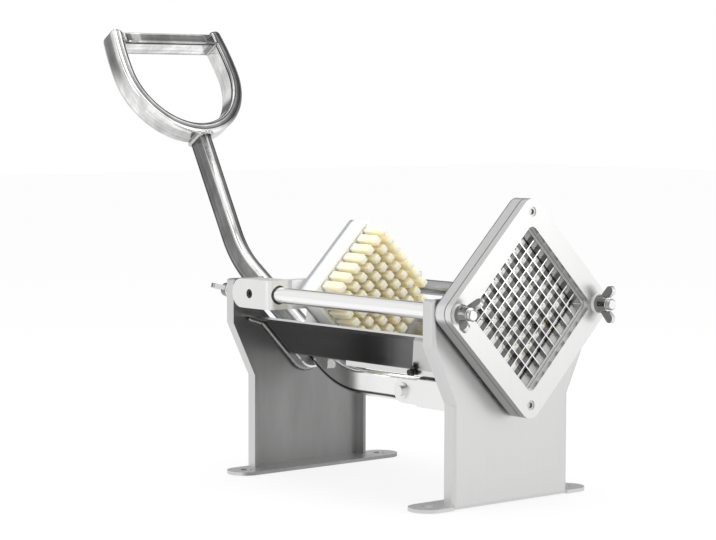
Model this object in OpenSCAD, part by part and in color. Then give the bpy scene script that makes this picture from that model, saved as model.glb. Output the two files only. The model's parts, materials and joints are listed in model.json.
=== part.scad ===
// Lever-operated cutter that pushes a whole potato through a blade grid.
// Units are mm. X runs from the rear stand to the front stand, Y across, Z up.
// Origin: centre of the four foot holes, on the table plane.

/* [Overall] */
// Outer face to outer face of the two stands
stand_span = 237; // [225:1:250]
// Height of the guide rods and of the cutting axis above the table
axis_z = 140; // [134:1:148]
// Distance of each guide rod from the centre plane
rod_y = 68.5; // [66:0.5:70]

/* [Stands] */
// Sheet of the stands
sheet_t = 2.5; // [2:0.5:3]
// Half width of the leg
leg_half = 56.3; // [50:0.5:58]
// Height at which the leg starts to widen
leg_z = 74; // [65:1:85]
// Half width of the shoulder that carries the rods
shoulder_half = 77; // [76:0.5:80]
// Height at which the shoulder becomes vertical
shoulder_z = 116; // [108:1:122]
// Rise of the shoulder top above the rod axis
shoulder_rise = 9.5; // [8:0.5:12]
// Depth of the folded side flanges, from the outer face
flange_depth = 10.5; // [8:0.5:12]
// Outer radius of the folds
fold_r = 3.2; // [2:0.2:5]
// Depth of the folded foot
foot_depth = 28; // [24:1:34]
// Overall width of the foot, over both ears
foot_w = 165; // [150:1:174]
// Distance of each foot hole from the centre plane
foot_hole_y = 67.5; // [64:0.5:72]
// Radius of the foot holes
foot_hole_r = 4.5; // [3:0.25:5]
// Half width of the notch in the rear stand
notch_half = 41; // [36:1:46]
// Height at which the flanks of the notch would meet
notch_v_z = 82; // [78:1:86]
// Radius at the bottom of the notch
notch_r = 9; // [4:1:14]
// Opening in the front stand, across its flats
stand_opening = 80.8; // [78:0.2:84]

/* [Guide rods] */
// Radius of the guide rods
rod_r = 6; // [5:0.5:6.5]
// Radius of their threaded ends
stud_r = 4; // [3:0.5:5]
// Thread showing in front of the cover
stud_front = 13.5; // [10:0.5:20]
// Thread showing behind the rear stand
stud_rear = 12.5; // [10:0.5:24]
// Washer thickness
washer_t = 1.5; // [1:0.25:2]
// Washer radius
washer_r = 7.3; // [7:0.1:9]
// Wing nut: length of its barrel
nut_len = 8.5; // [6:0.5:10]
// Wing nut: distance from its axis to the middle of a wing's lobe
wing_reach = 10; // [8:0.5:11]
// Wing nut: radius of a wing's lobe
wing_r = 3.3; // [2.6:0.1:5]
// Wing nut: thickness of a wing
wing_t = 3.4; // [2:0.2:4]

/* [Blade frame] */
// Blade spacing
pitch = 9.525; // [9.3:0.025:9.7]
// Cells along each side of the grid
cells = 8; // [8:1:8]
// Blade thickness
blade_t = 0.8; // [0.4:0.1:1]
// Blade depth
blade_d = 11; // [8:0.5:12]
// Side of the frame across its flats
frame_side = 116; // [112:0.5:117]
// Corner radius of the frame
frame_r = 10; // [6:1:12]
// Thickness of the spacer behind the frame
spacer_t = 2.5; // [2:0.5:4]
// How far the spacer stands back from the frame's outline
spacer_inset = 5; // [4:0.5:8]
// How far the top of the front stand stands back from the frame's outline
top_inset = 6; // [5:0.5:9]
// Thickness of the frame body that holds the blades
body_t = 10; // [8:0.5:12]
// Thickness of the front cover
cover_t = 6; // [4:0.5:8]
// Margin between the outer blades and the frame body
edge_gap = 2; // [1:0.25:3]
// How far the cover's opening stands back from the body's
cover_step = 2.4; // [1:0.2:3]
// Radius of the frame rivets
rivet_r = 3.6; // [3:0.2:5]
// Distance of the frame rivets from the cutting axis
rivet_pos = 68.5; // [66:0.5:70]

/* [Pusher] */
// Side of the pusher back plate
pusher_side = 80; // [76:0.5:82]
// Corner radius of the back plate and block
pusher_r = 5; // [3:1:8]
// Back plate thickness
pusher_plate_t = 2.5; // [2:0.5:4]
// Block thickness
block_t = 15.5; // [12:0.5:18]
// Pin length
pin_len = 21; // [16:0.5:21]
// Pin width
pin_w = 6.8; // [6:0.1:7.5]

/* [Carriage] */
// Height of the side blocks
slide_h = 22; // [20:0.5:24]
// Width of each side block
slide_w = 20; // [18:0.5:21]
// Length of each side block
slide_len = 45; // [40:1:50]
// Distance from the pivot axis back to the rear end of the blocks
slide_back = 21; // [18:0.5:21]
// Thickness of the cross plate
cross_t = 8.5; // [6:0.5:10]
// Distance from the pivot axis to the pusher plate
pivot_to_pusher = 27; // [25:0.5:30]
// Radius of the outer front corners
slide_r = 5.5; // [3:0.5:8]
// Wall of the bushes
bush_t = 1.2; // [1:0.1:2]
// Running clearance on the guide rods and pins
run_gap = 0.05; // [0.02:0.01:0.08]

/* [Lever] */
// Height of the flat-sided lever and handle tube
tube_h = 19.5; // [17:0.5:22]
// Thickness of the lever tube
lever_t = 10; // [8:0.5:12]
// Wall of the tube
tube_wall = 1.5; // [1:0.25:2]
// Distance of the lever pivot in front of the rear stand's outer face
pivot_in = 32; // [30:0.5:36]
// Radius of the lever pivot pin
pivot_pin_r = 5; // [4:0.5:6]
// Thickness of each lever ear
ear_t = 4; // [3:0.5:5]
// Thickness of each carriage lug
lug_t = 6; // [4:0.5:8]
// Bend radius near the stand
bend_low_r = 78; // [60:1:90]
// Bend radius near the handle
bend_top_r = 80; // [60:1:120]
// Half width of the handle loop, to the middle of its tube
loop_half = 53.6; // [48:0.2:56]
// Height from the widest part of the loop down to its lowest point
loop_drop = 56.8; // [50:0.2:62]
// Height from the lowest point of the loop to the middle of the grip
grip_rise = 87.4; // [80:0.2:94]
// Thickness of the loop's tube
loop_t = 10; // [8:0.5:12]
// Thickness of the grip's tube
grip_t = 10.5; // [8:0.5:12]

/* [Link] */
// Distance from the lever pivot forward to the link's lever end
link_x = 104; // [100:0.5:108]
// Distance from the front stand's outer face back to the link's fixed pivot
link_fix = 14; // [13:0.5:16]
// Height of the link's fixed pivot
link_fix_z = 71; // [68:0.5:74]
// Height of the link's lever end at rest
link_z = 71.5; // [68:0.5:74]
// Half height of the link bars
link_r = 9; // [8:0.5:10]
// Thickness of each link bar
link_t = 4; // [3:0.5:5]
// Radius of the link bolts
link_bolt_r = 4; // [3:0.5:5]
// Distance of the link bars from the centre plane
link_gap = 12; // [11:0.5:13]
// Radius of the bush welded across the lever's end
end_bush_r = 7.5; // [6.5:0.5:8]

/* [Trough] */
// Sheet of the trough
trough_t = 1.6; // [1:0.2:2]
// Half width over the lips
lip_half = 60; // [57:0.5:61]
// Height of the lips
lip_z = 121; // [118:0.5:123]
// Half width where the flanks start
flank_half = 42; // [40:0.5:46]
// Height where the flanks start
flank_z = 115.5; // [112:0.5:118]
// Half width of the slot for the lever
slot_half = 17; // [16.5:0.5:19]
// Height of the slot's edges
slot_z = 89.5; // [87:0.5:92]
// Depth of the turned-down edges of the slot
slot_lip = 4.5; // [3:0.5:6]
// Length of the closed end of the trough at the rear stand
closed_len = 10; // [6:1:16]
// Radius in the bottom of the closed end
closed_r = 14; // [10:1:18]
// Width of the weld beads
bead = 2.2; // [1.4:0.2:3]

/* [Hidden] */
e = 0.02;
x_front = stand_span/2;
x_rear = -stand_span/2;
x_in_f = x_front - sheet_t;
x_in_r = x_rear + sheet_t;
x_spacer = x_front;
x_body = x_spacer + spacer_t;
x_cover = x_body + body_t;
x_face = x_cover + cover_t;
x_blade = x_cover - blade_d;
opening = cells*pitch + 2*edge_gap;
cover_opening = opening + 2*cover_step;
tab_half = opening/2 + 4.4;
blades = cells - 1;
pivot = [x_rear + pivot_in, axis_z];
link_a = [pivot[0] + link_x, link_z];
link_b = [x_front - link_fix, link_fix_z];
x_pusher = pivot[0] + pivot_to_pusher;
x_block = x_pusher + pusher_plate_t;
x_pins = x_block + block_t;
x_slide = pivot[0] - slide_back;
foot_hole_x = foot_depth/2;
screw_y = pusher_side/2 - 2;
ear_in = lever_t/2 + e;
ear_out = ear_in + ear_t;
lug_in = ear_out + 0.5;
lug_out = lug_in + lug_t;
bar_in = link_gap;
bar_out = bar_in + link_t;
cheek_in = bar_out + 0.7;
cheek_t = 3;
cheek_out = cheek_in + cheek_t;
hd = [pivot[0] - 170.5, axis_z + 119];
bend_top = [pivot[0] - 114.8, axis_z + 18];
bend_low = [pivot[0] + 17.6, link_z - 0.5];
lever_end = [link_a[0] + 8.5, link_z - 0.5];
handle_tilt = 122.8;
loop_mid = loop_drop - 0.8;
loop_top = grip_rise + grip_t/2;
loop_grip = loop_half*sqrt(1 - pow((grip_rise - loop_mid)/110, 2)) - loop_t/2;
slot_x = x_in_r + 72;
flank_dir = (flank_z - slot_z)/(flank_half - slot_half);
nut_turn = 38;
spacer_dx = 18.3;
spacer_dz = 8;
stop_x = 34;

steel = [0.78, 0.79, 0.80];
bright = [0.86, 0.87, 0.88];
dark = [0.30, 0.30, 0.31];
cream = [0.93, 0.90, 0.82];

front_stand();
rear_stand();
food_trough();
trough_welds();
slot_screws();
guide_rod_near();
guide_rod_far();
frame_spacer();
frame_body();
frame_cover();
blades_rising();
blades_falling();
frame_rivets();
front_washers();
rear_washers();
wing_nut_front_near();
wing_nut_front_far();
wing_nut_rear_near();
wing_nut_rear_far();
link_bracket();
bracket_pin();
bracket_clips();
carriage();
slide_bushes();
slide_set_screws();
pusher_plate();
pusher_block();
pusher_screws();
lever_pivot_pin();
pivot_clips();
lever_tube();
lever_ears();
lever_bush();
handle_loop();
handle_grip();
handle_caps();
handle_weld();
link_bar_near();
link_bar_far();
link_spacer();
link_bolts();

// ---- helpers -------------------------------------------------------------

// 2D shapes drawn in (Y, Z), pushed along +X from x by t
module along_x(x, t) translate([x, 0, 0]) rotate([90, 0, 90]) linear_extrude(t) children();
// 2D shapes drawn in (X, Z), from y0 to y1
module along_y(y0, y1) translate([0, y1, 0]) rotate([90, 0, 0]) linear_extrude(y1 - y0) children();
module rod_x(x0, x1, y, z, r) translate([x0, y, z]) rotate([0, 90, 0]) cylinder(h = x1 - x0, r = r, $fn = 48);
module rod_y(y0, y1, x, z, r) translate([x, y0, z]) rotate([-90, 0, 0]) cylinder(h = y1 - y0, r = r, $fn = 48);
module both_sides() for (s = [-1, 1]) scale_side(s) children();
module scale_side(s) if (s > 0) children(); else mirror([0, 1, 0]) children();
// Square of side a standing on a corner, centred on the cutting axis
module diamond(a, r) translate([0, axis_z]) rotate(45) round_square(a, r);
module round_square(a, r) {
  square([a - 2*r, a], center = true);
  square([a, a - 2*r], center = true);
  for (i = [-1, 1], j = [-1, 1]) translate([i*(a/2 - r), j*(a/2 - r)]) circle(r, $fn = 48);
}
// Two circles joined by their outer tangents
module strap(p, rp, q, rq) {
  d = norm(q - p);
  a = atan2(q[1] - p[1], q[0] - p[0]);
  b = acos((rp - rq)/d);
  translate(p) circle(rp, $fn = 64);
  translate(q) circle(rq, $fn = 64);
  polygon([p + rp*[cos(a + b), sin(a + b)], q + rq*[cos(a + b), sin(a + b)],
           q + rq*[cos(a - b), sin(a - b)], p + rp*[cos(a - b), sin(a - b)]]);
}
// Mitred strip of thickness t to the right of a path
function left(v) = [-v[1], v[0]]/norm(v);
function mitre(p, i, t) = i == 0 ? p[0] - t*left(p[1] - p[0])
  : i == len(p) - 1 ? p[i] - t*left(p[i] - p[i - 1])
  : let (u = left(p[i] - p[i - 1]), w = left(p[i + 1] - p[i])) p[i] - t*(u + w)/(1 + u*w);
function strip(p, t) = concat(p, [for (i = [len(p) - 1:-1:0]) mitre(p, i, t)]);

// ---- stands --------------------------------------------------------------

function side_edge() = [[leg_half, 0], [leg_half, leg_z], [shoulder_half, shoulder_z],
                        [shoulder_half, axis_z + shoulder_rise]];
module lower_outline(d = 0) {
  p = [for (i = [0:3]) i == 0 ? [leg_half - d, 0] : i == 3 ? [shoulder_half - d, side_edge()[3][1]]
       : mitre(side_edge(), i, -d)];
  polygon(concat(p, [for (i = [3:-1:0]) [-p[i][0], p[i][1]]]));
}
// One stand with its outer face at x = 0 and everything else at x < 0
module stand_blank() {
  top = axis_z + shoulder_rise;
  difference() {
    union() {
      along_x(-sheet_t, sheet_t) lower_outline();
      difference() {
        along_x(-flange_depth, flange_depth - sheet_t + e) lower_outline();
        along_x(-flange_depth - 1, flange_depth + 2) lower_outline(sheet_t);
        translate([-flange_depth - 1, -shoulder_half - 1, -1])
          cube([flange_depth + 2, 2*shoulder_half + 2, sheet_t - e + 1]);
      }
      difference() {
        translate([-foot_depth, 0, 0]) linear_extrude(sheet_t) translate([foot_depth/2, 0]) {
          square([foot_depth, foot_w - foot_depth], center = true);
          for (s = [-1, 1]) translate([0, s*(foot_w - foot_depth)/2]) circle(foot_depth/2, $fn = 72);
        }
      }
    }
    both_sides() translate([-foot_hole_x, foot_hole_y, -1]) cylinder(h = sheet_t + 2, r = foot_hole_r, $fn = 48);
    both_sides() for (i = [0:2]) side_fold(side_edge()[i], side_edge()[i + 1], i);
    // bend from the plate into the foot
    translate([0, -leg_half, 0]) difference() {
      translate([-fold_r, 0, -1]) cube([fold_r + 1, 2*leg_half, fold_r + 1]);
      translate([-fold_r, -1, fold_r]) rotate([-90, 0, 0]) cylinder(h = 2*leg_half + 2, r = fold_r, $fn = 48);
    }
    // openings for the rod ends
    both_sides() rod_x(-sheet_t - 1, 1, rod_y, axis_z, stud_r + 0.3);
    // eased upper corners of the shoulder
    both_sides() translate([-flange_depth - 1, shoulder_half - 4, top - 4]) difference() {
      cube([flange_depth + 2, 5, 5]);
      rotate([0, 90, 0]) translate([0, 0, -1]) cylinder(h = flange_depth + 4, r = 4, $fn = 48);
    }
  }
}
module side_fold(p, q, i) {
  d = norm(q - p);
  a = atan2(q[0] - p[0], q[1] - p[1]);
  lo = i == 0 ? sheet_t : -0.7;
  translate([0, p[0], p[1]]) rotate([-a, 0, 0]) translate([-fold_r, -fold_r, lo]) difference() {
    cube([fold_r + 1, fold_r + 1, d - lo + (i == 2 ? 1 : 0.7)]);
    translate([0, 0, -1]) cylinder(h = d + 4, r = fold_r, $fn = 48);
  }
}
module front_stand() color(steel) difference() {
  union() {
    translate([x_front, 0, 0]) stand_blank();
    along_x(x_in_f, sheet_t) intersection() {
      diamond(frame_side - 2*top_inset, frame_r);
      translate([-100, axis_z]) square([200, 100]);
    }
  }
  along_x(x_in_f - 1, sheet_t + 2) diamond(stand_opening, 3);
  both_sides() rod_x(x_in_f - 1, x_front + 1, rod_y, axis_z, stud_r + 0.3);
}
module rear_stand() color(steel) difference() {
  translate([x_rear, 0, 0]) mirror([1, 0, 0]) stand_blank();
  along_x(x_rear - 1, sheet_t + 2) notch();
}
module notch() {
  k = notch_r*(sqrt(2) - 1);
  f = notch_r*sqrt(2)/2;
  polygon([[0, notch_v_z + 2*k + f], [f, notch_v_z + f + 0.001], [notch_half, notch_v_z + notch_half],
           [notch_half, axis_z + 60], [-notch_half, axis_z + 60], [-notch_half, notch_v_z + notch_half],
           [-f, notch_v_z + f + 0.001]]);
  translate([0, notch_v_z + notch_r*sqrt(2)]) circle(notch_r, $fn = 64);
}

// ---- trough --------------------------------------------------------------

function trough_side() = [[lip_half, lip_z], [flank_half, flank_z], [slot_half, slot_z],
                          [slot_half, slot_z - slot_lip]];
// The slot edge is turned down square to the table
function slot_edge() = let (p = trough_side()) strip([p[1] + 0.7*(p[2] - p[1]), p[2], p[3]], -trough_t);
// The closed end runs round the bottom of the V in one bend
function closed_path() = let (p = trough_side(), a = atan(flank_dir), r = closed_r,
  zc = slot_z - flank_dir*slot_half + r/cos(a),
  q = [for (i = [-8:8]) [-r*sin(a*i/8), zc - r*cos(a*i/8)]])
  concat([p[0], p[1]], q, [[-p[1][0], p[1][1]], [-p[0][0], p[0][1]]]);
function shifted(p, d) = [for (i = [0:len(p) - 1]) mitre(p, i, -d)];
module food_trough() color(steel) difference() {
  union() {
    both_sides() {
      along_x(x_in_r + closed_len - e, x_in_f - x_in_r - closed_len + e)
        polygon(strip([for (i = [0:2]) trough_side()[i]], -trough_t));
      along_x(slot_x, x_in_f - slot_x) polygon(slot_edge());
    }
    along_x(x_in_r, closed_len) polygon(strip(closed_path(), -trough_t));
  }
  rod_y(-slot_half - 10, slot_half + 10, stop_x, slot_z - slot_lip/2, 1.5 + e);
}
module trough_welds() color(bright) {
  p = [for (i = [1:len(closed_path()) - 2]) closed_path()[i]];
  along_x(x_in_r, bead) polygon(strip(shifted(p, trough_t + e), -bead));
  both_sides() along_x(x_in_f - bead, bead) polygon(strip(shifted([for (i = [1, 2])
    trough_side()[i] + (i == 2 ? [3, 3*flank_dir] : [0, 0])], trough_t + e), -bead));
}
// Small screws through the turned-down edges of the slot
module slot_screws() color(dark) both_sides() {
  rod_y(slot_half, slot_half + trough_t + 1.6, stop_x, slot_z - slot_lip/2, 1.5);
  rod_y(slot_half + trough_t + 1.5, slot_half + trough_t + 2.5, stop_x, slot_z - slot_lip/2, 2.8);
  rod_y(slot_half + trough_t + 2.4, slot_half + trough_t + 5.5, stop_x, slot_z - slot_lip/2, 2.2);
}

// ---- guide rods and their nuts ---------------------------------------------

module guide_rod(s) {
  y = s*rod_y;
  tip = 1;
  rod_x(x_in_r, x_in_f, y, axis_z, rod_r);
  rod_x(x_in_r - sheet_t - stud_rear + tip, x_face + stud_front - tip, y, axis_z, stud_r);
  translate([x_face + stud_front - tip, y, axis_z]) rotate([0, 90, 0])
    cylinder(h = tip, r1 = stud_r, r2 = stud_r - tip, $fn = 48);
  translate([x_rear - stud_rear + tip, y, axis_z]) rotate([0, -90, 0])
    cylinder(h = tip, r1 = stud_r, r2 = stud_r - tip, $fn = 48);
}
module guide_rod_near() color(bright) guide_rod(-1);
module guide_rod_far() color(bright) guide_rod(1);
module washer(x, y) difference() {
  rod_x(x, x + washer_t, y, axis_z, washer_r);
  rod_x(x - 1, x + washer_t + 1, y, axis_z, stud_r + 0.2);
}
module front_washers() color(bright) for (s = [-1, 1]) washer(x_face, s*rod_y);
module rear_washers() color(bright) for (s = [-1, 1]) washer(x_rear - washer_t, s*rod_y);
// Wing nut seated at x = 0, its wings pointing to +X
module wing_nut() difference() {
  union() {
    rotate([0, 90, 0]) cylinder(h = 1.6, r = 6.8, $fn = 48);
    translate([1.6 - e, 0, 0]) rotate([0, 90, 0]) cylinder(h = nut_len - 1.6, r1 = 6.3, r2 = 5.3, $fn = 48);
    for (s = [-1, 1]) along_y(-wing_t/2, wing_t/2) {
      strap([3.4, s*4.2], 2.6, [wing_reach - 0.4, s*wing_reach], wing_r);
    }
  }
  translate([-1, 0, 0]) rotate([0, 90, 0]) cylinder(h = 30, r = stud_r + run_gap, $fn = 48);
}
module front_nut(s) translate([x_face + washer_t, s*rod_y, axis_z])
  rotate([s > 0 ? 0 : -nut_turn, 0, 0]) wing_nut();
module rear_nut(s) translate([x_rear - washer_t, s*rod_y, axis_z]) rotate([0, 0, 180]) rotate([s*72, 0, 0])
  wing_nut();
module wing_nut_front_near() color(bright) front_nut(-1);
module wing_nut_front_far() color(bright) front_nut(1);
module wing_nut_rear_near() color(bright) rear_nut(-1);
module wing_nut_rear_far() color(bright) rear_nut(1);

// ---- blade frame -----------------------------------------------------------

module frame_plate(x, t) difference() {
  along_x(x, t) diamond(frame_side, frame_r);
  both_sides() rod_x(x - 1, x + t + 1, rod_y, axis_z, stud_r + 0.3);
  for (s = [-1, 1]) rod_x(x - 1, x + t + 1, 0, axis_z + s*rivet_pos, rivet_r);
}
module frame_spacer() color(dark) difference() {
  along_x(x_spacer, spacer_t) intersection() {
    diamond(frame_side - 2*spacer_inset, 4);
    translate([0, axis_z]) square(2*(rod_y - stud_r - 4), center = true);
  }
  along_x(x_spacer - 1, spacer_t + 2) diamond(opening + 2, 2);
}
module frame_body() color(steel) difference() {
  frame_plate(x_body, body_t);
  along_x(x_body - 1, body_t + 2) diamond(opening, 0.5);
  along_x(x_body - 1, body_t + 2) translate([0, axis_z]) for (q = [0, 90]) rotate(45 + q)
    for (i = [1:blades]) translate([(i - cells/2)*pitch, 0])
      square([blade_t + 0.1, 2*tab_half + 0.2], center = true);
}
module frame_cover() color(steel) difference() {
  frame_plate(x_cover, cover_t);
  along_x(x_cover - 1, cover_t + 2) diamond(cover_opening, 5);
}
// One blade across the grid: sharpened towards the pusher, tabs in the frame body
module blade(a, notch_front) {
  mid = x_blade + blade_d/2;
  hw = (blade_t + 0.12)/2;
  difference() {
    translate([0, 0, -tab_half]) linear_extrude(2*tab_half)
      polygon([[x_blade, a - 0.1], [x_blade + 2, a - blade_t/2], [x_cover, a - blade_t/2],
               [x_cover, a + blade_t/2], [x_blade + 2, a + blade_t/2], [x_blade, a + 0.1]]);
    for (s = [0, 180]) rotate([s, 0, 0]) translate([x_blade - 1, -opening, opening/2 - 0.3])
      cube([x_body - x_blade + 1, 2*opening, tab_half]);
    for (i = [1:blades]) translate([notch_front ? mid - e : x_blade - 1, a - 2, (i - cells/2)*pitch - hw])
      cube([blade_d/2 + 1 + e, 4, 2*hw]);
  }
}
module blade_set(turn, notch_front) translate([0, 0, axis_z]) rotate([turn, 0, 0])
  for (i = [1:blades]) blade((i - cells/2)*pitch, notch_front);
module blades_rising() color(bright) blade_set(45, true);
module blades_falling() color(bright) blade_set(-45, false);
module frame_rivets() color(bright) for (s = [-1, 1]) difference() {
  rod_x(x_body, x_face - 0.6, 0, axis_z + s*rivet_pos, rivet_r);
  rod_x(x_face - 1.8, x_face, 0, axis_z + s*rivet_pos, rivet_r - 1.6);
}

// ---- pusher and carriage -----------------------------------------------------

module pusher_plate() color(steel) difference() {
  along_x(x_pusher, pusher_plate_t) diamond(pusher_side, pusher_r);
  for (s = [-1, 1]) rod_x(x_pusher - 1, x_block + 1, s*screw_y, axis_z, 2.5 + e);
}
module pusher_block() color(cream) {
  along_x(x_block, block_t) diamond(pusher_side - 0.4, pusher_r);
  along_x(x_pins - e, pin_len + e) translate([0, axis_z]) rotate(45)
    for (i = [0:cells - 1], j = [0:cells - 1]) if (!(i + j == cells - 1 && (i == 0 || j == 0)))
      translate([(i + 0.5 - cells/2)*pitch, (j + 0.5 - cells/2)*pitch]) square(pin_w, center = true);
}
module pusher_screws() color(bright) for (s = [-1, 1]) {
  rod_x(x_pusher - cross_t - e, x_block, s*screw_y, axis_z, 2.5);
  difference() {
    rod_x(x_pusher - cross_t - 3, x_pusher - cross_t, s*screw_y, axis_z, 4.5);
    rod_x(x_pusher - cross_t - 4, x_pusher - cross_t - 1.4, s*screw_y, axis_z, 2);
  }
}
module slide_outline() {
  r = slide_h/2;
  translate([x_slide + r, axis_z - r]) square([slide_len - r, slide_h]);
  translate([x_slide + r, axis_z]) circle(r, $fn = 72);
}
module carriage() color(steel) difference() {
  union() {
    both_sides() intersection() {
      along_y(rod_y - slide_w/2, rod_y + slide_w/2) slide_outline();
      translate([0, 0, axis_z - slide_h]) linear_extrude(2*slide_h) {
        translate([x_slide, rod_y - slide_w/2]) square([slide_len - slide_r, slide_w]);
        translate([x_slide, rod_y - slide_w/2]) square([slide_len, slide_w - slide_r]);
        translate([x_slide + slide_len - slide_r, rod_y + slide_w/2 - slide_r]) circle(slide_r, $fn = 48);
      }
    }
    translate([x_pusher - cross_t, -(rod_y - slide_w/2) - e, axis_z - slide_h/2])
      cube([cross_t, 2*(rod_y - slide_w/2) + 2*e, slide_h]);
    both_sides() along_y(lug_in, lug_out)
      strap(pivot, slide_h/2 + 0.5, [x_pusher - 2, axis_z], slide_h/2);
  }
  // the cross plate ends square with the pusher plate
  along_x(x_pusher, 20) square([2*(rod_y - slide_w/2) - 4, 600], center = true);
  both_sides() rod_x(x_slide - 1, x_slide + slide_len + 10, rod_y, axis_z, rod_r + bush_t + e);
  both_sides() rod_y(rod_y + rod_r + bush_t - 1, rod_y + slide_w, pivot[0], axis_z, 3.5);
  rod_y(-lug_out - 1, lug_out + 1, pivot[0], axis_z, pivot_pin_r + e);
  for (s = [-1, 1]) rod_x(x_pusher - cross_t - 1, x_pusher + 1, s*screw_y, axis_z, 2.5 + e);
}
module slide_bushes() color(dark) both_sides() difference() {
  rod_x(x_slide + 0.5, x_slide + slide_len - 0.5, rod_y, axis_z, rod_r + bush_t);
  rod_x(x_slide - 1, x_slide + slide_len + 1, rod_y, axis_z, rod_r + run_gap);
}
module slide_set_screws() color(dark) both_sides() difference() {
  rod_y(rod_y + rod_r + bush_t, rod_y + slide_w/2 - 0.8, pivot[0], axis_z, 3.5 - e);
  rod_y(rod_y + slide_w/2 - 1.6, rod_y + slide_w/2 + 1, pivot[0], axis_z, 1.6);
}

// ---- lever -------------------------------------------------------------------

module lever_pivot_pin() color(bright) rod_y(-lug_out - 3, lug_out + 3, pivot[0], axis_z, pivot_pin_r);
module clip(x, z, r, y) difference() {
  rod_y(y, y + 1.2, x, z, r + 2.2);
  rod_y(y - 1, y + 2, x, z, r + e);
  translate([x - r*0.7, y - 1, z - r - 4]) cube([1.4*r, 4, 6]);
}
module pivot_clips() color(dark) both_sides() clip(pivot[0], axis_z, pivot_pin_r, lug_out + 0.2);
function unit(v) = v/norm(v);
// Points of a path through p, q, s, t with its two corners rounded
function corner(p, q, s, br) = let (u = unit(q - p), w = unit(s - q), a = acos(u*w)/2,
  c = q + unit(w - u)*br/cos(a), f = q - br*tan(a)*u - c, g = sign(u[0]*w[1] - u[1]*w[0]))
  [for (i = [0:18]) let (b = g*2*a*i/18) c + [f[0]*cos(b) - f[1]*sin(b), f[0]*sin(b) + f[1]*cos(b)]];
function lever_path(over) = concat([hd + over*unit(hd - bend_top)],
  corner(hd, bend_top, bend_low, bend_top_r), corner(bend_top, bend_low, lever_end, bend_low_r),
  [lever_end + [over, 0]]);
// Side view of the lever, h high
function band(p, h) = concat([for (i = [0:len(p) - 1]) mitre(p, i, -h/2)],
  [for (i = [len(p) - 1:-1:0]) mitre(p, i, h/2)]);
module lever_solid(h, t, over = 0) along_y(-t/2, t/2) polygon(band(lever_path(over), h));
module lever_tube() color(bright) difference() {
  lever_solid(tube_h, lever_t);
  lever_solid(tube_h - 2*tube_wall, lever_t - 2*tube_wall, 2);
  in_handle(tube_h/2 + 6) polygon(loop_outline(loop_t/2 + e));
  rod_y(-20, 20, link_a[0], link_a[1], end_bush_r + e);
}
module lever_ears() color(steel) difference() {
  q1 = pivot + [-18, -43.5];
  q2 = pivot + [6, -59];
  both_sides() along_y(ear_in, ear_out) {
    strap(pivot, 13, q1, 3);
    strap(pivot, 13, q2, 3);
    polygon([pivot, q1, q2]);
    strap(q1, 3, q2, 3.01);
  }
  rod_y(-30, 30, pivot[0], axis_z, pivot_pin_r + run_gap);
}
module lever_bush() color(steel) difference() {
  rod_y(0.3 - link_gap, link_gap - 0.3, link_a[0], link_a[1], end_bush_r);
  rod_y(-20, 20, link_a[0], link_a[1], link_bolt_r + run_gap);
}
// 2D shapes drawn in the tilted plane of the handle (Y, height), pushed h to both sides of it
module in_handle(h) translate([hd[0], 0, hd[1]]) rotate([0, 90 - handle_tilt, 0])
  rotate([90, 0, 90]) translate([0, 0, -h]) linear_extrude(2*h) children();
// Outline of the loop, d outside the middle of its tube: half an ellipse below, another above
function arc_point(a, b, f, d) = let (n = unit([sin(f)/a, -cos(f)/b]))
  [a*sin(f), loop_mid - b*cos(f)] + d*n;
function loop_outline(d) = concat([for (i = [-8:-1]) arc_point(loop_half, 110, 90 - 3*i, d)],
  [for (i = [24:-1:-24]) arc_point(loop_half, loop_drop, i*3.75, d)],
  [for (i = [1:8]) arc_point(loop_half, 110, -90 - 3*i, d)]);
module loop_band(d0, d1, top) intersection() {
  difference() {
    polygon(loop_outline(d1));
    polygon(concat(loop_outline(d0), [[-40, 150], [40, 150]]));
  }
  translate([-100, -50]) square([200, 50 + top]);
}
module handle_loop() color(bright) difference() {
  in_handle(tube_h/2) loop_band(-loop_t/2, loop_t/2, loop_top - tube_wall);
  in_handle(tube_h/2 - tube_wall) loop_band(tube_wall - loop_t/2, loop_t/2 - tube_wall, 150);
}
// Plates that close the two upper ends of the loop
module handle_caps() color(bright) intersection() {
  in_handle(tube_h/2) loop_band(-loop_t/2, loop_t/2, loop_top);
  in_handle(tube_h) translate([-100, loop_top - tube_wall + e]) square([200, tube_wall]);
}
module handle_grip() color(bright) difference() {
  in_handle(tube_h/2) translate([-loop_half, grip_rise - grip_t/2]) square([2*loop_half, grip_t]);
  in_handle(tube_h/2 - tube_wall) translate([-loop_half - 1, grip_rise - grip_t/2 + tube_wall])
    square([2*loop_half + 2, grip_t - 2*tube_wall]);
  in_handle(tube_h) loop_band(-loop_t/2 - e, loop_t, 150);
}
// Beads round the lever's end and on the front of the grip's joints
module handle_weld() color(steel) {
  difference() {
    in_handle(tube_h/2 + bead) translate([-lever_t/2 - bead, -loop_t/2 - 4])
      square([lever_t + 2*bead, bead + 2.2]);
    in_handle(tube_h) polygon(loop_outline(loop_t/2 + e));
    lever_solid(tube_h + 2*e, lever_t + 2*e, 5);
  }
  both_sides() difference() {
    in_handle(tube_h/2 + 1) translate([loop_grip - 1.6, grip_rise - grip_t/2 + 1]) square([3.2, grip_t - 2]);
    in_handle(tube_h/2 + e) translate([0, 0]) square(200, center = true);
  }
}

// ---- link ----------------------------------------------------------------------

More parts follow.
